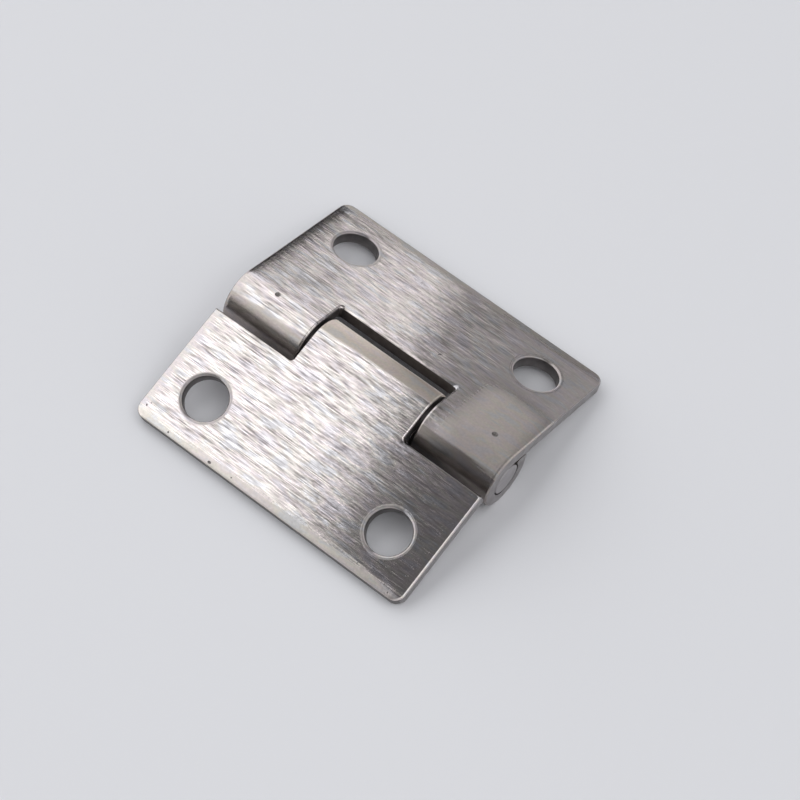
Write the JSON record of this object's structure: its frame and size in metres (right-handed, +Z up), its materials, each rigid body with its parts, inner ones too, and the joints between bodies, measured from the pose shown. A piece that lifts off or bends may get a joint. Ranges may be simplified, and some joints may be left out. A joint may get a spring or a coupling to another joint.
{
  "type": "leaf hinge",
  "caption": "Square two-leaf hinge of brushed stainless sheet, its leaves rolled into knuckles round a plain pin, with round screw holes near the outer corners.",
  "frame": {"origin": "on the surface the hinge rests on, straight below the middle of the pin", "axes": "+X along the pin, +Z up, -Y towards the leaf with one knuckle; both leaves slope down equally from the barrel"},
  "size_m": [0.05, 0.0498, 0.0096],
  "materials": {
    "leaf_steel": "brushed along the pin, edges tumbled smooth",
    "pin_steel": "drawn bright rod, cut ends"
  },
  "bodies": {
    "rear": {"rear_leaf": "leaf_steel", "hinge_pin": "pin_steel"},
    "front": {"front_leaf": "leaf_steel"}
  },
  "joints": [
    {"name": "leaf_swing", "type": "hinge", "parent": "rear", "child": "front", "pos_m": [0, 0, 0.0048], "axis": [1, 0, 0], "range_deg": [-123, 154]}
  ]
}
